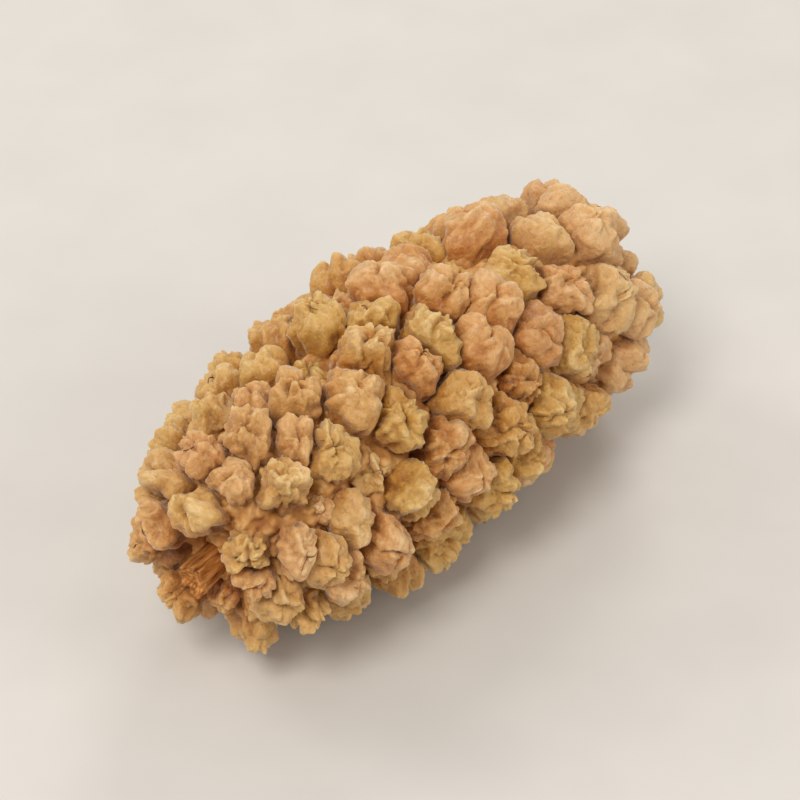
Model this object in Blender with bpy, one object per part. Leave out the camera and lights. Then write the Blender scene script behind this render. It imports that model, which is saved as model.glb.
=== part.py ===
"""One dried white mulberry with the short stub of its stalk, lying on its side.

A mulberry is a cluster of small drupelets, each packed against its neighbours on one soft core.
The core is divided into cells, one for each drupelet, and every cell is drawn out into a blunt knob.
Metres, +Z up. The fruit lies along X: its stalk end is at -X and its tip at +X.
"""

import math

import bmesh
import bpy
import numpy as np
from mathutils import Vector

MM = 0.001
HAIR = 0.001 * MM

# The fruit's outer size, over the ends of its drupelets
FRUIT_LENGTH = 22.6 * MM
FRUIT_WIDTH = 10.6 * MM
DRUPELET_HEIGHT = 2.1 * MM

# The core that the drupelets stand on
CORE_HALF_LENGTH = FRUIT_LENGTH / 2 - DRUPELET_HEIGHT
CORE_RADIUS = FRUIT_WIDTH / 2 - DRUPELET_HEIGHT
ENDS_SQUARENESS = 3.6
WAIST_BULGE = 0.16
BULGE_WIDTH = 0.35
BOW = -0.5 * MM
OUTLINE_STEPS = 1441
POLE_RADIUS = 0.1 * MM

# How the drupelets are spread over the core
DRUPELETS = 160
GOLDEN_ANGLE = math.pi * (3 - math.sqrt(5))
STALK_CELL = 5.0
CROWDING = 0.28
PLACE_JITTER = 0.15
TIP_ROOM = 0.25
FIRST_ANGLE = 4.38
SEED = 11

# How each drupelet is shaped: (share of its height, width against its cell), from the core outwards
RINGS = ((0.42, 0.92), (0.84, 0.66))
OUTLINE_ROUNDNESS = 0.7
HEIGHT_SPREAD = 0.13
SHRUNKEN_SHARE = 0.07
SHRUNKEN_HEIGHT = 0.55
LEAN = 0.1
EARLY_LEAN = 0.33

# The stalk's stub and the well that it sits in
WELL_DEPTH = 1.1 * MM
WELL_WIDTH = 0.9
STALK_RADIUS = 0.55 * MM
STALK_WAIST = 0.12
STALK_GAP = 0.35 * MM
STALK_REACH = 1.4 * MM
STALK_SIDES = 12
STALK_RINGS = 6
STALK_DROOP = 0.12 * MM

# How far the drupelets underneath dried flat
FLAT_DEPTH = 0.7 * MM


def clear_scene():
    for obj in list(bpy.data.objects):
        bpy.data.objects.remove(obj, do_unlink=True)


def make_material(name, colour, roughness):
    material = bpy.data.materials.new(name)
    material.use_nodes = True
    shader = material.node_tree.nodes["Principled BSDF"]
    shader.inputs["Base Color"].default_value = (*colour, 1)
    shader.inputs["Roughness"].default_value = roughness
    shader.inputs["Metallic"].default_value = 0
    return material


def core_outline():
    """The core's outline from its stalk end to its tip: places along X, radii, and lengths along the skin.

    It is |x/H|^n + |r/R|^n = 1, with its radius drawn in by the bulge away from the middle.
    """
    turn = np.linspace(0, math.pi, OUTLINE_STEPS)
    along = np.abs(np.cos(turn) / CORE_HALF_LENGTH) ** ENDS_SQUARENESS
    across = np.abs(np.sin(turn) / CORE_RADIUS) ** ENDS_SQUARENESS
    reach = (along + across) ** (-1 / ENDS_SQUARENESS)
    x = -reach * np.cos(turn)
    fullness = np.exp(-((x / (BULGE_WIDTH * CORE_HALF_LENGTH)) ** 2))
    r = reach * np.sin(turn) * (1 - WAIST_BULGE * (1 - fullness))
    run = np.concatenate([[0], np.cumsum(np.hypot(np.diff(x), np.diff(r)))])
    return x, r, run


def outer_outline():
    """The outline one drupelet's height outside the core: radii, and the lengths of its short steps."""
    x, r, run = core_outline()
    outer_x = x - np.gradient(r, run) * DRUPELET_HEIGHT
    outer_r = r + np.gradient(x, run) * DRUPELET_HEIGHT
    return outer_r, np.hypot(np.gradient(outer_x), np.gradient(outer_r))


def turn_from_stalk(x, r):
    """The angle at the fruit's middle between the stalk end and a place on the outline."""
    return np.arctan2(r, -x)


def onto_core(points):
    """Moves points straight away from the fruit's middle, or towards it, until they lie on the core."""
    x, r, _ = core_outline()
    around = np.hypot(points[:, 1], points[:, 2])
    here = turn_from_stalk(points[:, 0], around)
    scale = np.interp(here, turn_from_stalk(x, r), r) / around
    new_x = np.interp(here, turn_from_stalk(x, r), x)
    return np.column_stack([new_x, points[:, 1] * scale, points[:, 2] * scale])


def core_normals(points):
    """Which way the core's skin faces at points on it."""
    x, r, run = core_outline()
    around = np.hypot(points[:, 1], points[:, 2])
    here = turn_from_stalk(points[:, 0], around)
    forward = np.interp(here, turn_from_stalk(x, r), -np.gradient(r, run))
    outward = np.interp(here, turn_from_stalk(x, r), np.gradient(x, run))
    scale = outward / np.maximum(around, HAIR)
    normals = np.column_stack([forward, points[:, 1] * scale, points[:, 2] * scale])
    return normals / np.linalg.norm(normals, axis=1, keepdims=True)


def drupelet_places():
    """How far along the skin each drupelet stands, and its angle about the axis: a slightly uneven golden spiral.

    Each takes the same area of the surface one drupelet's height outside the core, a little less at the stalk.
    """
    random = np.random.default_rng(SEED)
    x, r, run = core_outline()
    outer_r, step = outer_outline()
    covered = np.cumsum(step * outer_r * (1 - CROWDING * x / CORE_HALF_LENGTH))
    taken = (np.arange(DRUPELETS) + STALK_CELL) / (DRUPELETS + STALK_CELL - 0.5)
    place = np.interp(taken, covered / covered[-1], run)
    spacing = math.sqrt(2 * run[-1] * CORE_RADIUS * math.pi / DRUPELETS)
    place = place + random.uniform(-1, 1, DRUPELETS) * PLACE_JITTER * spacing
    place = np.clip(place, place[0], run[-1] - TIP_ROOM * spacing)
    radius = np.maximum(np.interp(place, run, r), spacing)
    angle = FIRST_ANGLE + GOLDEN_ANGLE * np.arange(DRUPELETS)
    angle = angle + random.uniform(-1, 1, DRUPELETS) * PLACE_JITTER * spacing / radius
    return place, angle


def feet_on_core(place, angle):
    """Where the drupelets stand on the core, after the middle of the stalk's cell."""
    x, r, run = core_outline()
    radius = np.interp(place, run, r)
    feet = np.column_stack([np.interp(place, run, x), radius * np.cos(angle), radius * np.sin(angle)])
    return np.vstack([[-CORE_HALF_LENGTH, 0, 0], feet])


def feet_on_sphere(place, angle):
    """The same feet on a sphere, by the map that keeps round things on the fruit's outside round.

    With q the sum of step / radius along the outline, a foot's angle from the sphere's pole is 2 atan(e^q).
    """
    outer_r, step = outer_outline()
    q = np.cumsum(step / np.maximum(outer_r, POLE_RADIUS))
    here = np.interp(place, core_outline()[2], q - q[OUTLINE_STEPS // 2])
    from_pole = 2 * np.arctan(np.exp(here))
    around = np.sin(from_pole)
    feet = np.column_stack([-np.cos(from_pole), around * np.cos(angle), around * np.sin(angle)])
    return np.vstack([[-1, 0, 0], feet])


def drupelet_heights():
    """How tall each drupelet stands: most are close to the mean, and a few dried up small."""
    random = np.random.default_rng(SEED + 1)
    height = DRUPELET_HEIGHT * (1 + HEIGHT_SPREAD * random.uniform(-1, 1, DRUPELETS))
    shrunken = random.random(DRUPELETS) < SHRUNKEN_SHARE
    height[shrunken] *= SHRUNKEN_HEIGHT
    return np.concatenate([[0], height])


def faces_round(vert):
    """The faces that meet at a vertex, in order round it."""
    loop = vert.link_loops[0]
    found = []
    while loop.face.index not in found:
        found.append(loop.face.index)
        loop = loop.link_loop_prev.link_loop_radial_next
    return found


def join_neighbours(sphere_feet):
    """Triangles between neighbouring feet, the convex hull of the feet on the sphere, and those round each foot."""
    hull = bmesh.new()
    for foot in sphere_feet:
        hull.verts.new(foot)
    bmesh.ops.convex_hull(hull, input=hull.verts)
    bmesh.ops.recalc_face_normals(hull, faces=hull.faces[:])
    hull.verts.index_update()
    hull.faces.index_update()
    triangles = [[v.index for v in face.verts] for face in hull.faces]
    fans = [faces_round(vert) for vert in hull.verts]
    hull.free()
    return triangles, fans


def make_cells(bm, feet, sphere_feet):
    """Divides the core into cells, one round each foot, whose corners are the middles of the triangles."""
    triangles, fans = join_neighbours(sphere_feet)
    middles = onto_core(feet[np.array(triangles)].mean(axis=1))
    corners = [bm.verts.new(middle) for middle in middles]
    return [bm.faces.new([corners[k] for k in fan]) for fan in fans]


def round_cells(bm):
    """Gives every cell a corner more on each side, so that it can grow into a round knob."""
    cuts = bmesh.ops.subdivide_edges(bm, edges=bm.edges[:], cuts=1)["geom_inner"]
    middles = [item for item in cuts if isinstance(item, bmesh.types.BMVert)]
    for vert, place in zip(middles, onto_core(np.array([tuple(v.co) for v in middles]))):
        vert.co = place


def ring_of(outline, foot, normal, axis, height, level, width):
    """The drupelet's outline at one level: carried out from the core, rounded and drawn in towards its middle."""
    middle = foot + axis * (height * level)
    carried = [co + out * (height * level) - middle for co, out in outline]
    mean = sum(v.length for v in carried) / len(carried)
    shift = (axis - normal) * (height * level * EARLY_LEAN)
    places = []
    for v in carried:
        rounded = 1 - OUTLINE_ROUNDNESS * max(0, 1 - mean / v.length)
        places.append(middle + shift + v * width * rounded)
    return places


def grow_drupelet(bm, cell, foot, normal, height):
    """Draws a cell out into a blunt knob that leans towards the fruit's tip."""
    corners = np.array([tuple(v.co) for v in cell.verts])
    outline = [(Vector(co), Vector(out)) for co, out in zip(corners, core_normals(corners))]
    axis = (normal + Vector((LEAN, 0, 0))).normalized()
    for level, width in RINGS:
        cell = bmesh.ops.extrude_discrete_faces(bm, faces=[cell])["faces"][0]
        places = ring_of(outline, foot, normal, axis, height, level, width)
        for vert, place in zip(cell.verts, places):
            vert.co = place
    tip = bmesh.ops.poke(bm, faces=[cell])["verts"][0]
    tip.co = foot + axis * height


def sink_well(bm, cell):
    """Presses the stalk's cell in to a flat-bottomed well."""
    cell = bmesh.ops.extrude_discrete_faces(bm, faces=[cell])["faces"][0]
    middle = cell.calc_center_median()
    for vert in cell.verts:
        across = (vert.co - middle) * WELL_WIDTH
        vert.co = Vector((-CORE_HALF_LENGTH + WELL_DEPTH, across.y, across.z))


def bow(point):
    """Bends the straight fruit a little to one side, as it dried."""
    u = point[0] / CORE_HALF_LENGTH
    return Vector((point[0], point[1] + BOW * (u * u - 0.5), point[2]))


def flatten_underneath(bm):
    """Cuts the lowest drupelets off flat, and gives the height of the cut."""
    floor = min(v.co.z for v in bm.verts) + FLAT_DEPTH
    cut = bmesh.ops.bisect_plane(
        bm,
        geom=bm.verts[:] + bm.edges[:] + bm.faces[:],
        dist=HAIR,
        plane_co=(0, 0, floor),
        plane_no=(0, 0, -1),
        clear_outer=True,
    )
    edges = [item for item in cut["geom_cut"] if isinstance(item, bmesh.types.BMEdge)]
    bmesh.ops.holes_fill(bm, edges=edges)
    return floor


def link(bm, name, material):
    mesh = bpy.data.meshes.new(name)
    bm.to_mesh(mesh)
    bm.free()
    obj = bpy.data.objects.new(name, mesh)
    bpy.context.scene.collection.objects.link(obj)
    obj.data.materials.append(material)
    return obj


def build_fruit():
    """The core and its drupelets, grown together in one piece."""
    bm = bmesh.new()
    place, angle = drupelet_places()
    feet = feet_on_core(place, angle)
    cells = make_cells(bm, feet, feet_on_sphere(place, angle))
    round_cells(bm)
    sink_well(bm, cells[0])
    normals = core_normals(feet)
    for cell, foot, normal, height in zip(cells[1:], feet[1:], normals[1:], drupelet_heights()[1:]):
        grow_drupelet(bm, cell, Vector(foot), Vector(normal), height)
    for vert in bm.verts:
        vert.co = bow(vert.co)
    floor = flatten_underneath(bm)
    bmesh.ops.triangulate(bm, faces=bm.faces[:])
    bmesh.ops.recalc_face_normals(bm, faces=bm.faces[:])
    fruit = link(bm, "fruit", make_material("dried_mulberry_flesh", (0.52, 0.30, 0.12), 0.6))
    return fruit, floor


def build_stalk():
    """The stub of the stalk: a short rod in the well, broken off among the ends of the drupelets."""
    root = -CORE_HALF_LENGTH + WELL_DEPTH - STALK_GAP
    end = -CORE_HALF_LENGTH - STALK_REACH
    bm = bmesh.new()
    rings = []
    for t in np.linspace(0, 1, STALK_RINGS):
        radius = STALK_RADIUS * (1 - STALK_WAIST * math.sin(math.pi * t))
        middle = bow(Vector((root + (end - root) * t, 0, -STALK_DROOP * t * t)))
        turns = np.arange(STALK_SIDES) * 2 * math.pi / STALK_SIDES
        ring = [middle + Vector((0, radius * math.cos(turn), radius * math.sin(turn))) for turn in turns]
        rings.append([bm.verts.new(place) for place in ring])
    for near, far in zip(rings, rings[1:]):
        for side in range(STALK_SIDES):
            after = (side + 1) % STALK_SIDES
            bm.faces.new((near[side], near[after], far[after], far[side]))
    bm.faces.new(rings[0][::-1])
    bm.faces.new(rings[-1])
    bmesh.ops.recalc_face_normals(bm, faces=bm.faces[:])
    return link(bm, "stalk", make_material("dried_stalk", (0.20, 0.12, 0.05), 0.8))


def set_down(objects, floor):
    """Moves everything so that the flat underneath lies at height 0, and the box is centred on the origin."""
    corners = np.array([tuple(v.co) for obj in objects for v in obj.data.vertices])
    middle = (corners.min(axis=0) + corners.max(axis=0)) / 2
    for obj in objects:
        for vert in obj.data.vertices:
            vert.co -= Vector((middle[0], middle[1], floor))
    bpy.context.view_layer.update()


def main():
    clear_scene()
    fruit, floor = build_fruit()
    stalk = build_stalk()
    set_down([fruit, stalk], floor)


main()
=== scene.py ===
import math

import bpy
import numpy as np
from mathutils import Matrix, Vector


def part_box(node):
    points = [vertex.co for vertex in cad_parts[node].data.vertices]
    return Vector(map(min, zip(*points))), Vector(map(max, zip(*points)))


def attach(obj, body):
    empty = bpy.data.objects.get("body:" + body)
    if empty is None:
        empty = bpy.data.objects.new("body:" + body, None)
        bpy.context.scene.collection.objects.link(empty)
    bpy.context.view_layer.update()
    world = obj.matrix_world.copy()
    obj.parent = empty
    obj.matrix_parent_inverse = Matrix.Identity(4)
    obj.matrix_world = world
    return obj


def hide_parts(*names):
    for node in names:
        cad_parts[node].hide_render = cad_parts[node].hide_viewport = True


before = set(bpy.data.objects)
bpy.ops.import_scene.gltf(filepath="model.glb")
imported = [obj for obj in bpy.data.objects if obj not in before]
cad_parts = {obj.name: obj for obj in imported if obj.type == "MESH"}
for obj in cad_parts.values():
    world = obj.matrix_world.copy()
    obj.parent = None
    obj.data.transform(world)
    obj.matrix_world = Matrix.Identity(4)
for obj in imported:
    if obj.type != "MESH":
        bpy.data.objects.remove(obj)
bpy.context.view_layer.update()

# One dried white mulberry. Metres, +Z up. The fruit lies along X, its stalk end at -X and its tip at +X.
MM = 0.001

# The core, as the solid fruit has it
FRUIT_LENGTH = 22.6 * MM
FRUIT_WIDTH = 10.6 * MM
DRUPELET_HEIGHT = 2.1 * MM
CORE_HALF_LENGTH = FRUIT_LENGTH / 2 - DRUPELET_HEIGHT
CORE_RADIUS = FRUIT_WIDTH / 2 - DRUPELET_HEIGHT
ENDS_SQUARENESS = 3.6
WAIST_BULGE = 0.16
BULGE_WIDTH = 0.35
OUTLINE_STEPS = 1441

# How the fruit dried bent, and the move that lays it on the ground, as the solid fruit has them
BOW = -0.5 * MM
SET_DOWN = np.array([-0.1011, -0.1306, 4.7261]) * MM
GROUND_SOFTNESS = 0.07 * MM

# The places and heights of the drupelets, as the solid fruit has them
DRUPELETS = 160
GOLDEN_ANGLE = math.pi * (3 - math.sqrt(5))
FIRST_ANGLE = 4.38
STALK_CELL = 5.0
TIP_CELL = 0.5
CROWDING = 0.28
PLACE_JITTER = 0.15
TIP_ROOM = 0.25
HEIGHT_SPREAD = 0.13
SHRUNKEN_SHARE = 0.07
SHRUNKEN_HEIGHT = 0.55
LEAN = 0.1

# Seeds of the random draws and of the patterns. The warp takes three in a row.
PLACES_SEED = 11
HEIGHTS_SEED = 12
SHAPES_SEED = 13
DENTS_SEED = 14
RIDGES_SEED = 15
WRINKLES_SEED = 16
KNOBS_SEED = 17
FIBRES_SEED = 18
RIM_SEED = 19
SPLINTERS_SEED = 20
WARP_SEED = 21
GRAIN_SEED = 23
PLEATS_SEED = 24
CREASES_SEED = 26
PATCHES_SEED = 27
STYLES_SEED = 31

# The lattice that every pattern is drawn on, in cells a side, and how its lines turn into creases
LATTICE = 32
CREASE_STEEPNESS = 2.4
CREASE_FLOOR = 0.6

# The shape of one drupelet, in shares of its height and of the room that its neighbours leave it
ROOT_RISE = -0.1
MIDDLE_RISE = 0.42
BELLY_RISE = 0.48
ROOT_RINGS = 9
TIP_RINGS = 27
SIDES = 56
NECK = 0.06
TIP_BLUNTNESS = 2.0
NEIGHBOURS = 10
STALK_ROOM = 1.5
ROOM_SOFTNESS = 9
FILLED = 1.04
ROUNDNESS = 1.5
FLATNESS = 0.8
FLATNESS_SPREAD = 0.14
ROUNDER_TIP = 0.1
SPIN = 0.35
TOP_TILT = 0.13
MOST_TILT = 0.25
TILTED_RISE = (0.2, 1)
BEND = 0.12 * MM

# How the skin dried: sizes and depths of its dents, ridges, pleats and wrinkles
SKIN_STRENGTH = (0.55, 1.3)
SMOOTHER_TIP = 0.2
DRIED_RISE = (-0.1, 0.45)
TIP_SHRINK = 0.1 * MM
SHRUNKEN_RISE = (0.6, 1)
DENT_SIZE = 0.95 * MM
DENT_DEPTH = 0.36 * MM
RIDGE_SIZE = np.array([0.55, 0.55, 0.75]) * MM
RIDGE_DEPTH = 0.22 * MM
RIDGE_SOFTNESS = 0.14
VALLEY_LEVEL = 0.4
PLEAT_SIZE = np.array([0.4, 0.4, 0.9]) * MM
PLEAT_DEPTH = 0.17 * MM
PLEATED_PATCH = 0.8 * MM
PLEATED_RANGE = (0.25, 0.65)
WRINKLE_SIZE = np.array([0.17, 0.17, 0.25]) * MM
WRINKLE_DEPTH = 0.07 * MM
CUT_SOFTNESS = 0.03
WARP = 0.22 * MM

# Where each pattern starts, so that no two lie alike: steps, or multiples of a drupelet's own place
WARP_SHIFT = 5
PLEAT_SHIFT = 1.3
WRINKLE_SHIFT = 1.7
PATCH_SHIFT = 2.1

# How the tips split: lobes, the slits between them, and the pit where they meet
LOBE_RISE = 0.24 * MM
LOBE_LEVEL = 0.6
LOBED_RISE = (0.5, 0.9)
SLIT_DEPTH = 0.2 * MM
SLIT_WIDTH = 0.075 * MM
SLIT_RISE = (0.55, 0.95)
SLIT_SWAY = 0.5
SWAY_LENGTH = 0.35 * MM
SWAY_SHIFT = 5
PIT_DEPTH = 0.32 * MM
PIT_WIDTH = 0.26 * MM
PIT_SPREAD = (0.7, 1.5)
PIT_RISE = (0.7, 0.9)
CLEARNESS = (0.1, 1)

# How much each hollow of the skin darkens its colour: painted shade in the hollows, and at the pit partly the
# dark style scar too
VALLEY_SHADE = 0.4
PLEAT_SHADE = 0.45
WRINKLE_SHADE = 0.3
DENT_SHADE = 0.5
SLIT_SHADE = 0.8
PIT_SHADE = 0.7

# The drupelets' shades, by their place from -1 at the stalk end to 1 at the tip, and the stain by the stalk
PEACHIER_TIP = 0.1
BLEACHED_TIP = (0.45, 0.9)
# The drupelets at the stalk end are painted paler, as painted light; the paler tip end is their own colour
PAINTED_LIGHT_STALK_END = (0.3, 0.7)
STALK_END_PAINTED_LIGHT = 0.4
STAIN_REACH = 2.0 * MM
STAIN_EDGE = 4

# The core seen between the drupelets, and the well at the stalk end
CORE_RINGS = 300
CORE_SIDES = 260
CORE_LIFT = 0.6 * MM
KNOB_SIZE = 0.72 * MM
KNOB_HEIGHT = 0.55 * MM
KNOB_NARROWNESS = 1.3
KNOB_SHIFT = 7
FIBRE_SIZE = np.array([0.65, 0.35, 0.35]) * MM
FIBRE_HEIGHT = 0.2 * MM
FIBRE_SHIFT = 3
CREASE_SIZE = 0.2 * MM
CREASE_HEIGHT = 0.08 * MM
CREASE_SHIFT = 5
# How much the knobs, fibres and creases count in the core's painted light and shade: lighter where raised,
# darker in the hollows
KNOB_RELIEF = 0.45
FIBRE_RELIEF = 0.3
CREASE_RELIEF = 0.25
SWELL_ALONG = 0.3
WELL_DEPTH = 0.75 * MM
WELL_WIDTH = 1.6 * MM
WELL_EDGE = 4

# How many pieces share the drupelets
PARTS = 4

# The stalk's stub, its ribs and its torn end
STALK_SIDES = 72
STALK_RINGS = 40
TORN_RINGS = 14
TORN_SHARE = 0.97
STALK_RADIUS = 0.55 * MM
STALK_WAIST = 0.12
STALK_ROOT = -CORE_HALF_LENGTH + 1.1 * MM
STALK_END = -CORE_HALF_LENGTH - 1.3 * MM
STALK_DROOP = 0.12 * MM
STALK_RIBS = 9
RIB_HEIGHT = 0.09
RIB_WANDER = 0.8
RIB_WANDERS = 3
TEAR_DEPTH = 0.3 * MM
TEAR_LEVEL = 0.75
TORN_HOLLOW = 0.8
RIM_WAVES = 2.6
RIM_SHIFT = 11
SPLINTER_SHARE = 0.5
SPLINTER_WAVES = 7
SPLINTER_SHIFT = 4
GRAIN_SIZE = np.array([0.5, 0.07, 0.07]) * MM
GRAIN_HEIGHT = 0.1
GRAIN_SHIFT = 9

# The dried styles that some drupelets keep at their tips, two to a tip
STYLED_SHARE = 0.45
STYLES_A_TIP = 2
STYLE_LENGTH = 0.5 * MM
STYLE_SPREAD = (0.6, 1.4)
STYLE_RADIUS = 0.024 * MM
STYLE_TAPER = 0.6
STYLE_RISE = 0.1 * MM
STYLE_RINGS = 12
STYLE_SIDES = 6
FORK = 2.2
FORK_SPREAD = 0.7
CURL = 1.1
SKIN_ROUND = 1.3 * MM
OFF_PARALLEL = 0.01

# Half the width of the ground
FLOOR_HALF = 0.6

# The camera, its angles from the fruit's middle in degrees, and its lens and sensor in millimetres
CAMERA_AZIMUTH = -50
CAMERA_ELEVATION = 39
CAMERA_DISTANCE = 0.109
CAMERA_LENS = 150
CAMERA_SENSOR = 36
CAMERA_NEAR = 0.005
CAMERA_FAR = 5

# The soft lights: azimuth, elevation, distance, diameter, power and colour
LIGHTS = {
    "key": (-80, 54, 0.28, 0.12, 0.42, "#fffaf3"),
    "fill": (20, 28, 0.32, 0.2, 0.26, "#fffaf3"),
    "back": (120, 36, 0.30, 0.1, 0.21, "#fffbf6"),
    "rim": (-165, 36, 0.30, 0.1, 0.18, "#fffbf6"),
}
SURROUNDINGS = "#f4f1ec"
SURROUNDINGS_STRENGTH = 0.5


def unit(vectors):
    """Each vector divided by its length."""
    return vectors / np.linalg.norm(vectors, axis=-1, keepdims=True)


def smooth_step(low, high, values):
    """0 below low, 1 above high, and 3t^2 - 2t^3 in between."""
    t = np.clip((values - low) / (high - low), 0, 1)
    return t * t * (3 - 2 * t)


def value_noise(points, seed):
    """Smooth random values from 0 to 1: random numbers on a lattice, blended between them by smooth steps."""
    table = np.random.default_rng(seed).random((LATTICE, LATTICE, LATTICE))
    cell = np.floor(points).astype(int)
    t = smooth_step(0, 1, points - cell)
    total = 0
    for corner in np.ndindex(2, 2, 2):
        share = np.prod(np.where(corner, t, 1 - t), axis=-1)
        total = total + share * table[tuple(np.moveaxis((cell + corner) % LATTICE, -1, 0))]
    return total


def creases(points, seed, softness):
    """Distance from the lines where the noise is one half: near 0 on a line, rounded there, and 1 well away.

    With h = 2 noise - 1 it is the steepness times (sqrt(h^2 + s^2) - f s), where s is the softness and f the
    floor, and at most 1.
    """
    half = 2 * value_noise(points, seed) - 1
    away = np.sqrt(half * half + softness**2) - CREASE_FLOOR * softness
    return np.minimum(1, CREASE_STEEPNESS * away)


def nearest_spot(points, seed):
    """Distance from each point to the nearest spot, where each cell of a lattice holds one spot at random."""
    spots = np.random.default_rng(seed).random((LATTICE, LATTICE, LATTICE, 3))
    cell = np.floor(points).astype(int)
    nearest = np.full(points.shape[:-1], np.inf)
    for step in np.ndindex(3, 3, 3):
        there = cell + step - 1
        spot = there + spots[tuple(np.moveaxis(there % LATTICE, -1, 0))]
        nearest = np.minimum(nearest, np.linalg.norm(points - spot, axis=-1))
    return nearest


def core_outline():
    """The core's outline from its stalk end to its tip: places along X, radii, and lengths along the skin.

    It is |x/H|^n + |r/R|^n = 1, with its radius drawn in by the bulge away from the middle.
    """
    turn = np.linspace(0, math.pi, OUTLINE_STEPS)
    along = np.abs(np.cos(turn) / CORE_HALF_LENGTH) ** ENDS_SQUARENESS
    across = np.abs(np.sin(turn) / CORE_RADIUS) ** ENDS_SQUARENESS
    reach = (along + across) ** (-1 / ENDS_SQUARENESS)
    x = -reach * np.cos(turn)
    fullness = np.exp(-((x / (BULGE_WIDTH * CORE_HALF_LENGTH)) ** 2))
    r = reach * np.sin(turn) * (1 - WAIST_BULGE * (1 - fullness))
    run = np.concatenate([[0], np.cumsum(np.hypot(np.diff(x), np.diff(r)))])
    return x, r, run


def drupelet_places():
    """How far along the skin each drupelet stands, and its angle about the axis, on an uneven golden spiral.

    Each takes the same area of the surface one drupelet's height outside the core, and the crowding gives it
    a little less towards the stalk.
    """
    random = np.random.default_rng(PLACES_SEED)
    x, r, run = core_outline()
    outer_x = x - np.gradient(r, run) * DRUPELET_HEIGHT
    outer_r = r + np.gradient(x, run) * DRUPELET_HEIGHT
    step = np.hypot(np.gradient(outer_x), np.gradient(outer_r))
    covered = np.cumsum(step * outer_r * (1 - CROWDING * x / CORE_HALF_LENGTH))
    taken = (np.arange(DRUPELETS) + STALK_CELL) / (DRUPELETS + STALK_CELL - TIP_CELL)
    place = np.interp(taken, covered / covered[-1], run)
    spacing = math.sqrt(2 * run[-1] * CORE_RADIUS * math.pi / DRUPELETS)
    place = place + random.uniform(-1, 1, DRUPELETS) * PLACE_JITTER * spacing
    place = np.clip(place, place[0], run[-1] - TIP_ROOM * spacing)
    radius = np.maximum(np.interp(place, run, r), spacing)
    angle = FIRST_ANGLE + GOLDEN_ANGLE * np.arange(DRUPELETS)
    angle = angle + random.uniform(-1, 1, DRUPELETS) * PLACE_JITTER * spacing / radius
    return place, angle


def drupelet_heights():
    """How tall each drupelet stands: most are close to the mean, and a few dried up small."""
    random = np.random.default_rng(HEIGHTS_SEED)
    height = DRUPELET_HEIGHT * (1 + HEIGHT_SPREAD * random.uniform(-1, 1, DRUPELETS))
    shrunken = random.random(DRUPELETS) < SHRUNKEN_SHARE
    height[shrunken] *= SHRUNKEN_HEIGHT
    return height


def drupelet_frames():
    """Each drupelet's foot on the core, its axis, and the directions across it: round and along the fruit."""
    x, r, run = core_outline()
    place, angle = drupelet_places()
    radius = np.interp(place, run, r)
    out = np.column_stack([np.zeros(DRUPELETS), np.cos(angle), np.sin(angle)])
    feet = np.interp(place, run, x)[:, None] * [1, 0, 0] + radius[:, None] * out
    forward = np.interp(place, run, -np.gradient(r, run))
    outward = np.interp(place, run, np.gradient(x, run))
    normals = unit(forward[:, None] * [1, 0, 0] + outward[:, None] * out)
    axes = unit(normals + [LEAN, 0, 0])
    across = np.column_stack([np.zeros(DRUPELETS), -np.sin(angle), np.cos(angle)])
    return feet, axes, across, np.cross(axes, across)


def settle(points):
    """Bends the straight fruit as it dried, sets it down, and flattens what meets the ground.

    The bow is y + B (u^2 - 1/2). Near the ground a height z becomes (z + sqrt(z^2 + s^2)) / 2, above 0.
    """
    u = points[..., 0] / CORE_HALF_LENGTH
    x = points[..., 0] + SET_DOWN[0]
    y = points[..., 1] + BOW * (u * u - 0.5) + SET_DOWN[1]
    z = points[..., 2] + SET_DOWN[2]
    return np.stack([x, y, (z + np.sqrt(z * z + GROUND_SOFTNESS**2)) / 2], axis=-1)


def ring_profile():
    """A drupelet's rings from root to tip: shares of its height, and of its width.

    From the belly up it is a blunt dome, height sin^(2/n) and width cos^(2/n). Below, it narrows to a neck.
    """
    root = np.linspace(ROOT_RISE, BELLY_RISE, ROOT_RINGS, endpoint=False)
    turn = math.pi / 2 * np.sin(np.linspace(0, math.pi / 2, TIP_RINGS + 1)[:-1])
    dome = BELLY_RISE + (1 - BELLY_RISE) * np.sin(turn) ** (2 / TIP_BLUNTNESS)
    neck = 1 - NECK * ((BELLY_RISE - root) / BELLY_RISE) ** 2
    return np.concatenate([root, dome]), np.concatenate([neck, np.cos(turn) ** (2 / TIP_BLUNTNESS)])


def room_round(feet, axes, across, along, heights, rise, turn):
    """How far each drupelet can spread at each height and in each direction, as (drupelets, rings, sides).

    A neighbour at distance d in direction a leaves d / (2 cos(turn - a)). The smallest is taken softly, as
    (sum of limit^-p)^(-1/p), and smaller drupelets leave their neighbours more. The stalk is a neighbour too.
    """
    all_feet = np.vstack([feet, [[-CORE_HALF_LENGTH, 0, 0]]])
    all_axes = np.vstack([axes, [[-1, 0, 0]]])
    size = np.concatenate([np.sqrt(heights / DRUPELET_HEIGHT), [STALK_ROOM]])
    tips = all_feet + all_axes * DRUPELET_HEIGHT
    apart = np.linalg.norm(tips[:DRUPELETS, None] - tips[None], axis=-1)
    near = np.argsort(apart, axis=1)[:, 1 : NEIGHBOURS + 1]
    level = (heights[:, None] * rise)[:, :, None, None]
    here = feet[:, None, None] + axes[:, None, None] * level
    there = all_feet[near][:, None] + all_axes[near][:, None] * level
    way = there - here
    side = np.einsum("nrkc,nc->nrk", way, across)
    ahead = np.einsum("nrkc,nc->nrk", way, along)
    share = size[:DRUPELETS, None] / (size[:DRUPELETS, None] + size[near])
    half = np.hypot(side, ahead) * share[:, None]
    facing = np.cos(turn - np.arctan2(ahead, side)[..., None])
    push = np.maximum(facing, 0) / half[..., None]
    return (push**ROOM_SOFTNESS).sum(axis=2) ** (-1 / ROOM_SOFTNESS)


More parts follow.
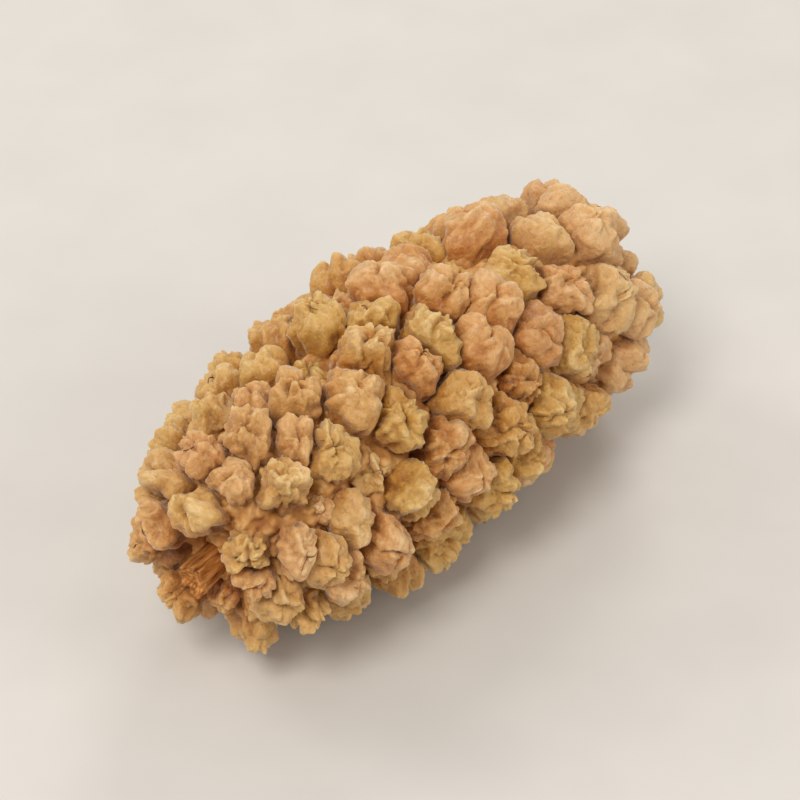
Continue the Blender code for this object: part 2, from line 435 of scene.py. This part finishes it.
def dry_skin(local, own, strength, dried):
    """How far the skin dried in at each point, and how much painted shade its hollows get, from 0 to 1.

    Dents are broad noise, and ridges stand along the lines of a second noise, with valleys between them.
    Pleats, in patches, and wrinkles are cut along the lines of two more. Three others warp all of these.
    """
    drift = [value_noise(local / DENT_SIZE + own + WARP_SHIFT * i, WARP_SEED + i) for i in range(3)]
    warped = local + WARP * (2 * np.stack(drift, axis=-1) - 1)
    dent = value_noise(warped / DENT_SIZE + own, DENTS_SEED)
    valley = creases(warped / RIDGE_SIZE + own, RIDGES_SEED, RIDGE_SOFTNESS)
    patches = value_noise(warped / PLEATED_PATCH + PATCH_SHIFT * own, PATCHES_SEED)
    pleat = 1 - creases(warped / PLEAT_SIZE + PLEAT_SHIFT * own, PLEATS_SEED, CUT_SOFTNESS)
    pleat = pleat * smooth_step(*PLEATED_RANGE, patches)
    wrinkle = 1 - creases(warped / WRINKLE_SIZE + WRINKLE_SHIFT * own, WRINKLES_SEED, CUT_SOFTNESS)
    depth = DENT_DEPTH * (0.5 - dent) + RIDGE_DEPTH * (valley - VALLEY_LEVEL)
    depth = depth + PLEAT_DEPTH * pleat + WRINKLE_DEPTH * wrinkle
    # Painted shade: each hollow darkens the colour by its share
    shade_in_folds = VALLEY_SHADE * valley + PLEAT_SHADE * pleat + WRINKLE_SHADE * wrinkle + DENT_SHADE * (0.5 - dent)
    return depth * strength * dried, shade_in_folds * dried


def split_tip(radius, turn, rise, random):
    """The lobes of a drupelet's tip, 1 in their middles, the slits between them, and the pit where they meet.

    Half of the tips have one slit, across them, and half have two that cross. A slit is e^-(d/w)^2 at a
    distance d from its line, which sways from side to side with the radius. The pit is e^-(r/w)^2.
    """
    each = (DRUPELETS, 1, 1)
    first = random.uniform(0, math.pi, each)
    slits = random.integers(1, 3, each)
    sway = SLIT_SWAY * np.sin(radius / SWAY_LENGTH + SWAY_SHIFT * first)
    lobe = np.abs(np.sin(slits * (turn - first + sway)))
    clear = random.uniform(*CLEARNESS, each)
    slit = np.exp(-((radius * lobe / slits / SLIT_WIDTH) ** 2)) * smooth_step(*SLIT_RISE, rise) * clear
    wide = PIT_WIDTH * random.uniform(*PIT_SPREAD, each)
    pit = np.exp(-((radius / wide) ** 2)) * smooth_step(*PIT_RISE, rise) * random.uniform(*CLEARNESS, each)
    return lobe * smooth_step(*LOBED_RISE, rise) * clear, slit, pit


def grow_drupelets():
    """The skins of all drupelets, as (drupelets, rings, sides, 3), with what their pieces and colours need.

    Each ring is the room between the neighbours, rounded towards an ellipse that is wider round the fruit
    than along it. The top is tilted and bent aside a little, and the skin is drawn in where it dried.
    """
    random = np.random.default_rng(SHAPES_SEED)
    feet, axes, across, along = drupelet_frames()
    heights = drupelet_heights()
    rise, width = ring_profile()
    turn = np.linspace(0, 2 * math.pi, SIDES, endpoint=False)
    room = room_round(feet, axes, across, along, heights, rise, turn)
    each = (DRUPELETS, 1, 1)
    towards_tip = feet[:, 0] / CORE_HALF_LENGTH

    spin = random.normal(0, SPIN, each)
    flat = FLATNESS + FLATNESS_SPREAD * random.uniform(-1, 1, each) + ROUNDER_TIP * towards_tip.reshape(each)
    ellipse = 1 / np.sqrt(np.cos(turn - spin) ** 2 + (np.sin(turn - spin) / flat) ** 2)
    typical = room.mean(axis=2, keepdims=True) * ROUNDNESS * ellipse
    spread = ((room * FILLED) ** -ROOM_SOFTNESS + typical**-ROOM_SOFTNESS) ** (-1 / ROOM_SOFTNESS)
    radius = spread * width[:, None]

    rise = np.broadcast_to(rise[:, None], radius.shape)
    side, ahead = radius * np.cos(turn), radius * np.sin(turn)
    tilt = np.clip(random.normal(0, TOP_TILT, (2, *each)), -MOST_TILT, MOST_TILT)
    bend = random.normal(0, BEND, (2, *each))
    lobe, slit, pit = split_tip(radius, turn, rise, random)
    level = heights.reshape(each) * rise
    level = level + smooth_step(*TILTED_RISE, rise) * (tilt[0] * side + tilt[1] * ahead)
    level = level + LOBE_RISE * (lobe - LOBE_LEVEL)
    local = np.stack([side + bend[0] * rise**2, ahead + bend[1] * rise**2, level], axis=-1)
    middle = np.zeros((*each, 3))
    middle[..., 2] = MIDDLE_RISE * heights.reshape(each)
    outward = unit(local - middle)

    own = random.uniform(0, LATTICE, (*each, 3))
    strength = random.uniform(*SKIN_STRENGTH, each) * (1 - SMOOTHER_TIP * towards_tip.reshape(each))
    drawn, shade_in_folds = dry_skin(local, own, strength, smooth_step(*DRIED_RISE, rise))
    inward = drawn + SLIT_DEPTH * slit + PIT_DEPTH * pit + TIP_SHRINK * smooth_step(*SHRUNKEN_RISE, rise)
    local = local - outward * inward[..., None]

    skins = feet[:, None, None] + sum(
        local[..., i, None] * way[:, None, None] for i, way in enumerate((across, along, axes))
    )
    from_axis = np.linalg.norm(skins[..., 1:], axis=-1)
    # Painted light: the stalk end painted paler
    stalk_end_light_share = STALK_END_PAINTED_LIGHT * smooth_step(*PAINTED_LIGHT_STALK_END, -towards_tip)
    return {
        "skins": skins,
        "tips": skins[:, -1].mean(axis=1),
        "roots": skins[:, 0].mean(axis=1),
        "axes": axes,
        "ways": (across, along),
        "rise": rise,
        # Painted shade in the folds, slits and pit
        "shade_in_folds": np.clip(shade_in_folds + SLIT_SHADE * slit + PIT_SHADE * pit, 0, 1),
        "tone": random.random(DRUPELETS) - PEACHIER_TIP * towards_tip,
        "age": random.random(DRUPELETS),
        # The tip end's own paleness, and painted light at the stalk end
        "pale_tip_and_painted_light": smooth_step(*BLEACHED_TIP, towards_tip) + stalk_end_light_share,
        "stain": (skins[..., 0] < 0) * np.exp(-((from_axis / STAIN_REACH) ** STAIN_EDGE)),
    }


def make_mesh(name, points, faces, attributes, material):
    """A smooth-shaded piece from points and faces, with one value a point for each named attribute."""
    mesh = bpy.data.meshes.new(name)
    mesh.from_pydata(points.tolist(), [], faces)
    mesh.polygons.foreach_set("use_smooth", np.ones(len(mesh.polygons), bool))
    for title, values in attributes.items():
        attribute = mesh.attributes.new(title, "FLOAT", "POINT")
        attribute.data.foreach_set("value", np.ravel(values).astype(np.float32))
    mesh.materials.append(material)
    mesh.update()
    piece = bpy.data.objects.new(name, mesh)
    bpy.context.scene.collection.objects.link(piece)
    return piece


def closed_grid_faces(shells, rings, sides):
    """Faces of shells whose rings run from root to tip, with a root point and a tip point after the rings."""
    ring = np.arange(rings - 1)[:, None] * sides
    side = np.arange(sides)
    after = (side + 1) % sides
    corners = [ring + side, ring + after, ring + sides + after, ring + sides + side]
    quads = np.stack(corners, axis=-1).reshape(-1, 4)
    last = (rings - 1) * sides
    root, tip = rings * sides, rings * sides + 1
    bottom = np.column_stack([np.full(sides, root), after, side])
    top = np.column_stack([last + side, last + after, np.full(sides, tip)])
    starts = np.arange(shells) * (rings * sides + 2)
    fans = (np.vstack([bottom, top])[None] + starts[:, None, None]).reshape(-1, 3)
    quads = (quads[None] + starts[:, None, None]).reshape(-1, 4)
    return quads.tolist() + fans.tolist()


def close_shells(body, root, tip):
    """Puts each shell's root and tip after its rings: (shells, rings x sides + 2, ...)."""
    shells = body.shape[0]
    flat = body.reshape(shells, -1, *body.shape[3:])
    return np.concatenate([flat, root[:, None], tip[:, None]], axis=1)


def drupelet_piece(name, grown, chosen, material):
    """One piece with the chosen drupelets, each a closed skin."""
    skins = grown["skins"][chosen]
    shells, rings, sides = skins.shape[:3]
    points = settle(close_shells(skins, grown["roots"][chosen], grown["tips"][chosen])).reshape(-1, 3)
    shade_in_folds, stain = grown["shade_in_folds"][chosen], grown["stain"][chosen]
    attributes = {
        "rise": close_shells(grown["rise"][chosen], np.full(shells, ROOT_RISE), np.ones(shells)),
        # Painted shade, darkest at each root point
        "shade_in_folds": close_shells(shade_in_folds, np.ones(shells), shade_in_folds[:, -1].mean(axis=1)),
        "stain": close_shells(stain, stain[:, 0].mean(axis=1), stain[:, -1].mean(axis=1)),
    }
    for title in ("tone", "age", "pale_tip_and_painted_light"):
        attributes[title] = np.repeat(grown[title][chosen], rings * sides + 2)
    return make_mesh(name, points, closed_grid_faces(shells, rings, sides), attributes, material)


def core_piece(material):
    """The flesh between the drupelets: the core's outline, lifted a little and turned about X, and roughened.

    Small knobs, drupelets that never filled, swell it as 1 - k d^2 at a distance d from a knob's middle, and
    lengthwise fibres and creases lie over them. At the stalk end a point at radius r is drawn in by the
    well's depth times e^-(r/w)^4.
    """
    x, r, run = core_outline()
    x, r = x - np.gradient(r, run) * CORE_LIFT, r + np.gradient(x, run) * CORE_LIFT
    picked = np.linspace(0, run[-1], CORE_RINGS + 2)[1:-1]
    x, r = np.interp(picked, run, x)[:, None], np.interp(picked, run, r)[:, None]
    turn = np.linspace(0, 2 * math.pi, CORE_SIDES, endpoint=False)
    body = np.stack([x + 0 * turn, r * np.cos(turn), r * np.sin(turn)], axis=-1)

    from_knob = nearest_spot(body / KNOB_SIZE + KNOB_SHIFT, KNOBS_SEED)
    knob = np.clip(1 - KNOB_NARROWNESS * from_knob**2, 0, 1)
    fibre = creases(body / FIBRE_SIZE + FIBRE_SHIFT, FIBRES_SEED, CUT_SOFTNESS)
    crease = creases(body / CREASE_SIZE + CREASE_SHIFT, CREASES_SEED, CUT_SOFTNESS)
    swell = KNOB_HEIGHT * (knob - 0.5) + FIBRE_HEIGHT * (fibre - 0.5) + CREASE_HEIGHT * (crease - 0.5)
    body = body + unit(body * [SWELL_ALONG, 1, 1]) * swell[..., None]
    well = (x < 0) * np.exp(-((r / WELL_WIDTH) ** WELL_EDGE)) * np.ones_like(turn)
    body[..., 0] += WELL_DEPTH * well

    root = np.array([[-CORE_HALF_LENGTH - CORE_LIFT + WELL_DEPTH, 0, 0]])
    tip = body[-1].mean(axis=0)[None]
    points = settle(close_shells(body[None], root, tip)).reshape(-1, 3)
    # Painted light and shade: lighter on raised places, darker in creases and hollows
    relief = KNOB_RELIEF * knob + FIBRE_RELIEF * fibre + CREASE_RELIEF * crease
    attributes = {
        "well": close_shells(well[None], np.ones(1), np.zeros(1)),
        "relief": close_shells(relief[None], np.ones(1), np.ones(1)),
    }
    return make_mesh("fruit_core", points, closed_grid_faces(1, CORE_RINGS, CORE_SIDES), attributes, material)


def stalk_piece(material):
    """The stalk's stub: a waisted, ribbed rod with a torn end, hollow in the middle and ragged at its rim.

    The side's radius is R (1 - waist sin(pi t)) (1 + rib cos(n a)), where the ribs wander a little. At a
    share i of the way in from the rim the end is h sqrt(i) deep. The rings run towards -X, so each face is
    turned round.
    """
    turn = np.linspace(0, 2 * math.pi, STALK_SIDES, endpoint=False)
    t = np.concatenate([np.linspace(0, 1, STALK_RINGS), np.ones(TORN_RINGS)])[:, None]
    torn = np.linspace(0, TORN_SHARE, TORN_RINGS + 1)[1:]
    inside = np.concatenate([np.zeros(STALK_RINGS), torn])[:, None]
    ribs = np.cos(STALK_RIBS * turn + RIB_WANDER * np.sin(RIB_WANDERS * turn))
    rib = 1 + RIB_HEIGHT * ribs * (1 - inside)
    radius = STALK_RADIUS * (1 - STALK_WAIST * np.sin(math.pi * t)) * rib * (1 - inside)
    rim = np.stack([np.cos(turn), np.sin(turn), 0 * turn], axis=-1)
    splinters = value_noise(rim * SPLINTER_WAVES + SPLINTER_SHIFT, SPLINTERS_SEED)
    tear = value_noise(rim * RIM_WAVES + RIM_SHIFT, RIM_SEED) + SPLINTER_SHARE * splinters - TEAR_LEVEL
    end = STALK_END + TEAR_DEPTH * (tear * (1 - inside) + TORN_HOLLOW * np.sqrt(inside))
    x = STALK_ROOT + (end - STALK_ROOT) * t
    z = radius * np.sin(turn) - STALK_DROOP * t * t
    body = np.stack([x, radius * np.cos(turn), z], axis=-1)
    grain = value_noise(body / GRAIN_SIZE + GRAIN_SHIFT, GRAIN_SEED)
    body[..., 1:] *= 1 + GRAIN_HEIGHT * (grain[..., None] - 0.5)
    root, tip = body[0].mean(axis=0)[None], body[-1].mean(axis=0)[None]
    points = settle(close_shells(body[None], root, tip)).reshape(-1, 3)
    faces = closed_grid_faces(1, len(t), len(turn))
    return make_mesh("stalk_stub", points, [face[::-1] for face in faces], {}, material)


def styles_piece(grown, material):
    """The dried styles: pairs of fine threads that leave a tip together, arch over, and lie down on it.

    At a share t of its length a thread is L t away, S sin(pi t) up, and L^2 t^2 / (2 R) down with the skin.
    """
    random = np.random.default_rng(STYLES_SEED)
    styled = np.flatnonzero(random.random(DRUPELETS) < STYLED_SHARE)
    owner = np.repeat(styled, STYLES_A_TIP)
    threads = len(owner)
    first = np.repeat(random.uniform(0, 2 * math.pi, len(styled)), STYLES_A_TIP)
    which = np.tile(np.arange(STYLES_A_TIP), len(styled))
    heading = first + which * random.normal(FORK, FORK_SPREAD, threads)
    length = STYLE_LENGTH * random.uniform(*STYLE_SPREAD, threads)
    t = np.linspace(0, 1, STYLE_RINGS)
    across, along = (way[owner][:, None] for way in grown["ways"])
    bearing = heading[:, None] + t * random.normal(0, CURL, threads)[:, None]
    ahead = across * np.cos(bearing)[..., None] + along * np.sin(bearing)[..., None]
    away = length[:, None] * t
    up = STYLE_RISE * np.sin(math.pi * t) + STYLE_RADIUS - away**2 / (2 * SKIN_ROUND)
    lift = grown["axes"][owner][:, None]
    path = grown["tips"][owner][:, None] + ahead * away[..., None] + lift * up[..., None]
    tangent = unit(np.gradient(path, axis=1))
    side = unit(np.cross(tangent, lift + OFF_PARALLEL))
    other = np.cross(tangent, side)
    turn = np.linspace(0, 2 * math.pi, STYLE_SIDES, endpoint=False)
    radius = STYLE_RADIUS * (1 - STYLE_TAPER * t)[:, None, None]
    ring = side[:, :, None] * np.cos(turn)[:, None] + other[:, :, None] * np.sin(turn)[:, None]
    skins = path[:, :, None] + ring * radius
    points = settle(close_shells(skins, path[:, 0], path[:, -1])).reshape(-1, 3)
    return make_mesh("dried_styles", points, closed_grid_faces(threads, len(t), len(turn)), {}, material)


def linear(hex_colour):
    """A colour given as sRGB hex, in the linear values that shaders take, by the standard sRGB curve."""
    parts = np.array([int(hex_colour[i : i + 2], 16) for i in (1, 3, 5)]) / 255
    values = np.where(parts <= 0.04045, parts / 12.92, ((parts + 0.055) / 1.055) ** 2.4)
    return (*values, 1)


def add(tree, kind, inputs=None, stops=None, **settings):
    """Adds a node: its settings, for each input a value or the output that feeds it, and any ramp's stops."""
    node = tree.nodes.new(kind)
    for key, value in settings.items():
        setattr(node, key, value)
    for key, value in (inputs or {}).items():
        if isinstance(value, bpy.types.NodeSocket):
            tree.links.new(value, node.inputs[key])
        else:
            node.inputs[key].default_value = value
    for i, (place, colour) in enumerate(stops or ()):
        elements = node.color_ramp.elements
        element = elements[i] if i < len(elements) else elements.new(place)
        element.position = place
        element.color = linear(colour)
    return node


def new_material(name):
    material = bpy.data.materials.new(name)
    material.use_nodes = True
    material.node_tree.nodes.clear()
    return material, material.node_tree


# The sockets of a Mix node that mixes colours: its share, the two colours, and what comes out
SHARE = 0
UNDER = 6
OVER = 7
MIXED = 2

# Dried mulberry flesh, air dried until its skin wrinkled: leathery and faintly waxy. Its ridges and tips are
# painted lighter, towards pale straw, and its folds, gaps and drupelet roots darker, towards caramel brown:
# painted light and shade, the tips partly their own paler colour too. Each drupelet dried to its own shade,
# from peach to honey, a few to amber. Fine brown freckles dot it, the tip end of the fruit is paler, the
# stalk end is painted paler as painted light, and the skin that faces the stalk is stained rust orange.
# Each ramp runs from painted shade at 0, for the roots and folds, to painted light at 1, for the tips, which
# are partly paler of their own
PEACH = ((0.0, "#9e5415"), (0.3, "#bc7a37"), (0.55, "#ca9252"), (0.8, "#d2a268"), (1.0, "#dfb988"))
HONEY = ((0.0, "#985a14"), (0.3, "#b88130"), (0.55, "#c6984a"), (0.8, "#cda55f"), (1.0, "#ddbd80"))
AMBER = ((0.0, "#87430f"), (0.3, "#a66227"), (0.55, "#ba7b3b"), (0.8, "#c78f53"), (1.0, "#d9ae78"))
RUST = ((0.0, "#7d430f"), (0.3, "#a5621f"), (0.55, "#c07c35"), (0.8, "#cf9148"), (1.0, "#dba65f"))
STRAW = "#e3c493"
FRECKLE_BROWN = "#8f5a22"
SHEEN_CREAM = "#fff0da"
CLOUD_SIZE = 0.7 * MM
FLECK_SIZE = 0.13 * MM
FRECKLE_SIZE = 0.16 * MM
PUCKER_SIZE = 0.2 * MM
PUCKER_HEIGHT = 0.1 * MM
PORE_SIZE = 0.07 * MM
PORE_HEIGHT = 0.03 * MM
CLOUD_SHADE = 0.5
FOLD_SHADE = -0.6
SHADE_DROP = 0.18
PALE_TIP_AND_LIGHT_SHARE = 0.35
GLOW_DEPTH = 0.5 * MM
GLOW_COLOURS = (1.0, 0.5, 0.2)


def mulberry_skin():
    material, tree = new_material("dried_mulberry_skin")
    rise, shade_in_folds, tone, age, pale_tip_and_painted_light, stain = (
        add(tree, "ShaderNodeAttribute", attribute_name=name).outputs["Fac"]
        for name in ("rise", "shade_in_folds", "tone", "age", "pale_tip_and_painted_light", "stain")
    )
    place = add(tree, "ShaderNodeTexCoord").outputs["Object"]
    clouds, flecks, freckles, puckers, pores = (
        add(
            tree,
            "ShaderNodeTexNoise",
            {"Vector": place, "Scale": 1 / size, "Detail": detail, "Roughness": harsh, "Distortion": bent},
        ).outputs["Fac"]
        for size, detail, harsh, bent in (
            (CLOUD_SIZE, 3.0, 0.5, 0.0),
            (FLECK_SIZE, 2.0, 0.5, 0.0),
            (FRECKLE_SIZE, 5.0, 0.65, 0.0),
            (PUCKER_SIZE, 4.0, 0.5, 0.6),
            (PORE_SIZE, 3.0, 0.5, 0.0),
        )
    )

    # The ramp position: up with the height in the drupelet, painted light that is partly the tip's own
    # paleness, up with the clouds of the skin's own mottling, and down in the folds, painted shade
    clouded = add(
        tree, "ShaderNodeMath", {0: clouds, 1: CLOUD_SHADE, 2: rise}, operation="MULTIPLY_ADD"
    ).outputs[0]
    folded = add(
        tree, "ShaderNodeMath", {0: shade_in_folds, 1: FOLD_SHADE, 2: clouded}, operation="MULTIPLY_ADD"
    ).outputs[0]
    shade = add(tree, "ShaderNodeMath", {0: folded, 1: SHADE_DROP}, operation="SUBTRACT").outputs[0]
    peach, honey, amber, rust = (
        add(tree, "ShaderNodeValToRGB", {"Fac": shade}, stops).outputs[0]
        for stops in (PEACH, HONEY, AMBER, RUST)
    )

    # How far each layer of colour covers those under it
    honeyed, browned, flecked, freckled, stained = (
        add(
            tree,
            "ShaderNodeMapRange",
            {"Value": value, "From Min": low, "From Max": high, "To Max": most},
        ).outputs[0]
        for value, low, high, most in (
            (tone, 0.2, 0.55, 1.0),
            (age, 0.72, 1.0, 0.7),
            (flecks, 0.55, 0.75, 0.3),
            (freckles, 0.58, 0.68, 0.45),
            (stain, 0.0, 1.0, 0.75),
        )
    )
    # Paler for the tip end's own colour, the painted light at the stalk end, and the flecks
    paled = add(
        tree, "ShaderNodeMath", {0: pale_tip_and_painted_light, 1: PALE_TIP_AND_LIGHT_SHARE, 2: flecked}, operation="MULTIPLY_ADD"
    ).outputs[0]
    colour = peach
    for share, layer in (
        (honeyed, honey),
        (browned, amber),
        (paled, linear(STRAW)),
        (freckled, linear(FRECKLE_BROWN)),
        (stained, rust),
    ):
        mix = add(tree, "ShaderNodeMix", {SHARE: share, UNDER: colour, OVER: layer}, data_type="RGBA")
        colour = mix.outputs[MIXED]

    fine = add(tree, "ShaderNodeBump", {"Height": pores, "Strength": 0.7, "Distance": PORE_HEIGHT}).outputs[0]
    bump = add(
        tree,
        "ShaderNodeBump",
        {"Height": puckers, "Normal": fine, "Strength": 0.9, "Distance": PUCKER_HEIGHT},
    ).outputs[0]
    roughness = add(
        tree,
        "ShaderNodeMapRange",
        {"Value": clouds, "From Min": 0.3, "From Max": 0.7, "To Min": 0.42, "To Max": 0.62},
    ).outputs[0]
    shader = add(
        tree,
        "ShaderNodeBsdfPrincipled",
        {
            "Base Color": colour,
            "Roughness": roughness,
            "Normal": bump,
            "IOR": 1.45,
            "Subsurface Weight": 0.35,
            "Subsurface Radius": GLOW_COLOURS,
            "Subsurface Scale": GLOW_DEPTH,
            "Coat Weight": 0.2,
            "Coat Roughness": 0.27,
            "Sheen Weight": 0.6,
            "Sheen Roughness": 0.35,
            "Sheen Tint": linear(SHEEN_CREAM),
        },
    )
    add(tree, "ShaderNodeOutputMaterial", {"Surface": shader.outputs[0]})
    return material


# The core's dried flesh: matt and caramel brown, painted lighter on the small knobs that it is packed with
# and darker in the creases and hollows between them, as painted light and shade, and orange in the well,
# where it tore open a little round the stalk
CORE_BROWN = ((0.15, "#804415"), (0.4, "#a76c2f"), (0.65, "#c18d4e"), (0.9, "#d0a268"))
WELL_ORANGE = ((0.25, "#b3682a"), (0.5, "#d58e44"), (0.75, "#e4ae69"))
CORE_CLOUDS = 0.5 * MM
CORE_BUMP = 0.1 * MM
RELIEF_SHADE = 0.75
CORE_SHADE_DROP = 0.4
CORE_GLOW_DEPTH = 0.4 * MM


def core_flesh():
    material, tree = new_material("dried_core_flesh")
    well, relief = (
        add(tree, "ShaderNodeAttribute", attribute_name=name).outputs["Fac"] for name in ("well", "relief")
    )
    place = add(tree, "ShaderNodeTexCoord").outputs["Object"]
    clouds = add(
        tree,
        "ShaderNodeTexNoise",
        {"Vector": place, "Scale": 1 / CORE_CLOUDS, "Detail": 4.0},
    ).outputs["Fac"]
    # Painted light and shade from the relief, with the clouds as the flesh's own mottling
    raised = add(
        tree, "ShaderNodeMath", {0: relief, 1: RELIEF_SHADE, 2: clouds}, operation="MULTIPLY_ADD"
    ).outputs[0]
    shade = add(tree, "ShaderNodeMath", {0: raised, 1: CORE_SHADE_DROP}, operation="SUBTRACT").outputs[0]
    brown, orange = (
        add(tree, "ShaderNodeValToRGB", {"Fac": shade}, stops).outputs[0]
        for stops in (CORE_BROWN, WELL_ORANGE)
    )
    mix = add(tree, "ShaderNodeMix", {SHARE: well, UNDER: brown, OVER: orange}, data_type="RGBA")
    bump = add(tree, "ShaderNodeBump", {"Height": clouds, "Strength": 0.7, "Distance": CORE_BUMP}).outputs[0]
    shader = add(
        tree,
        "ShaderNodeBsdfPrincipled",
        {
            "Base Color": mix.outputs[MIXED],
            "Roughness": 0.65,
            "Normal": bump,
            "Subsurface Weight": 0.3,
            "Subsurface Radius": GLOW_COLOURS,
            "Subsurface Scale": CORE_GLOW_DEPTH,
        },
    )
    add(tree, "ShaderNodeOutputMaterial", {"Surface": shader.outputs[0]})
    return material


# The stalk's dried plant fibre, broken off by hand: matt, ribbed lengthwise, orange-brown with dark furrows
STALK_COLOURS = ((0.3, "#6b3610"), (0.5, "#b4712d"), (0.7, "#d69a54"))
STALK_FIBRE_SIZE = 0.12 * MM
STALK_FIBRE_DRAW = (0.15, 1.0, 1.0)
STALK_FIBRE_HEIGHT = 0.05 * MM


def stalk_fibre():
    material, tree = new_material("dried_stalk_fibre")
    place = add(tree, "ShaderNodeTexCoord").outputs["Object"]
    drawn = add(tree, "ShaderNodeMapping", {"Vector": place, "Scale": STALK_FIBRE_DRAW}).outputs[0]
    fibres = add(
        tree,
        "ShaderNodeTexNoise",
        {"Vector": drawn, "Scale": 1 / STALK_FIBRE_SIZE, "Detail": 4.0},
    ).outputs["Fac"]
    colour = add(tree, "ShaderNodeValToRGB", {"Fac": fibres}, STALK_COLOURS).outputs[0]
    bump = add(tree, "ShaderNodeBump", {"Height": fibres, "Strength": 0.8, "Distance": STALK_FIBRE_HEIGHT})
    shader = add(
        tree,
        "ShaderNodeBsdfPrincipled",
        {"Base Color": colour, "Roughness": 0.8, "Normal": bump.outputs[0]},
    )
    add(tree, "ShaderNodeOutputMaterial", {"Surface": shader.outputs[0]})
    return material


# A style, dried to a fine dark brown thread: half matt, lighter in places
STYLE_BROWN = ((0.35, "#55301a"), (0.65, "#8c5e34"))
STYLE_CLOUDS = 0.3 * MM


def style_thread():
    material, tree = new_material("dried_style_thread")
    place = add(tree, "ShaderNodeTexCoord").outputs["Object"]
    clouds = add(tree, "ShaderNodeTexNoise", {"Vector": place, "Scale": 1 / STYLE_CLOUDS}).outputs["Fac"]
    colour = add(tree, "ShaderNodeValToRGB", {"Fac": clouds}, STYLE_BROWN).outputs[0]
    shader = add(tree, "ShaderNodeBsdfPrincipled", {"Base Color": colour, "Roughness": 0.6})
    add(tree, "ShaderNodeOutputMaterial", {"Surface": shader.outputs[0]})
    return material


# The ground: matt painted board, pale grey with a barely seen grain
BOARD_GREY = ((0.3, "#d0cdc9"), (0.7, "#d4d1cd"))
BOARD_GRAIN = 4 * MM


def ground_board():
    material, tree = new_material("pale_ground_board")
    place = add(tree, "ShaderNodeTexCoord").outputs["Object"]
    grain = add(
        tree,
        "ShaderNodeTexNoise",
        {"Vector": place, "Scale": 1 / BOARD_GRAIN, "Detail": 2.0},
    ).outputs["Fac"]
    colour = add(tree, "ShaderNodeValToRGB", {"Fac": grain}, BOARD_GREY).outputs[0]
    shader = add(tree, "ShaderNodeBsdfPrincipled", {"Base Color": colour, "Roughness": 0.85})
    add(tree, "ShaderNodeOutputMaterial", {"Surface": shader.outputs[0]})
    return material


def lay_floor():
    corners = [(x * FLOOR_HALF, y * FLOOR_HALF, 0) for x, y in ((-1, -1), (1, -1), (1, 1), (-1, 1))]
    mesh = bpy.data.meshes.new("floor")
    mesh.from_pydata(corners, [], [(0, 1, 2, 3)])
    mesh.materials.append(ground_board())
    floor = bpy.data.objects.new("floor", mesh)
    bpy.context.scene.collection.objects.link(floor)


def aim(obj, target):
    obj.rotation_euler = (Vector(target) - obj.location).to_track_quat("-Z", "Y").to_euler()


def from_middle(middle, azimuth, elevation, distance):
    """A point at an azimuth and elevation from the fruit's middle. Azimuth 0 is in front, at -Y."""
    a, e = math.radians(azimuth), math.radians(elevation)
    return middle + distance * Vector((math.sin(a) * math.cos(e), -math.cos(a) * math.cos(e), math.sin(e)))


def place_camera(middle):
    data = bpy.data.cameras.new("camera")
    data.lens = CAMERA_LENS
    data.sensor_width = CAMERA_SENSOR
    data.clip_start = CAMERA_NEAR
    data.clip_end = CAMERA_FAR
    camera = bpy.data.objects.new("camera", data)
    bpy.context.scene.collection.objects.link(camera)
    camera.location = from_middle(middle, CAMERA_AZIMUTH, CAMERA_ELEVATION, CAMERA_DISTANCE)
    aim(camera, middle)
    bpy.context.scene.camera = camera


def soft_light(name, middle, azimuth, elevation, distance, size, power, colour):
    data = bpy.data.lights.new(name, "AREA")
    data.shape = "DISK"
    data.size = size
    data.energy = power
    data.color = linear(colour)[:3]
    light = bpy.data.objects.new(name, data)
    bpy.context.scene.collection.objects.link(light)
    light.location = from_middle(middle, azimuth, elevation, distance)
    aim(light, middle)


def light_scene(middle):
    for name, setting in LIGHTS.items():
        soft_light(name, middle, *setting)
    world = bpy.data.worlds.new("studio")
    world.use_nodes = True
    background = world.node_tree.nodes["Background"]
    background.inputs["Color"].default_value = linear(SURROUNDINGS)
    background.inputs["Strength"].default_value = SURROUNDINGS_STRENGTH
    bpy.context.scene.world = world
    bpy.context.scene.view_settings.view_transform = "Standard"


def main():
    low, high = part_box("fruit")
    middle = (low + high) / 2
    skin = mulberry_skin()
    grown = grow_drupelets()
    fruit = [core_piece(core_flesh()), styles_piece(grown, style_thread())]
    for k in range(PARTS):
        fruit.append(drupelet_piece(f"drupelets_{k + 1}", grown, np.arange(DRUPELETS)[k::PARTS], skin))
    for piece in fruit:
        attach(piece, "root")
        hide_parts("fruit")
    stub = stalk_piece(stalk_fibre())
    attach(stub, "root")
    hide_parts("stalk")
    lay_floor()
    place_camera(middle)
    light_scene(middle)


main()
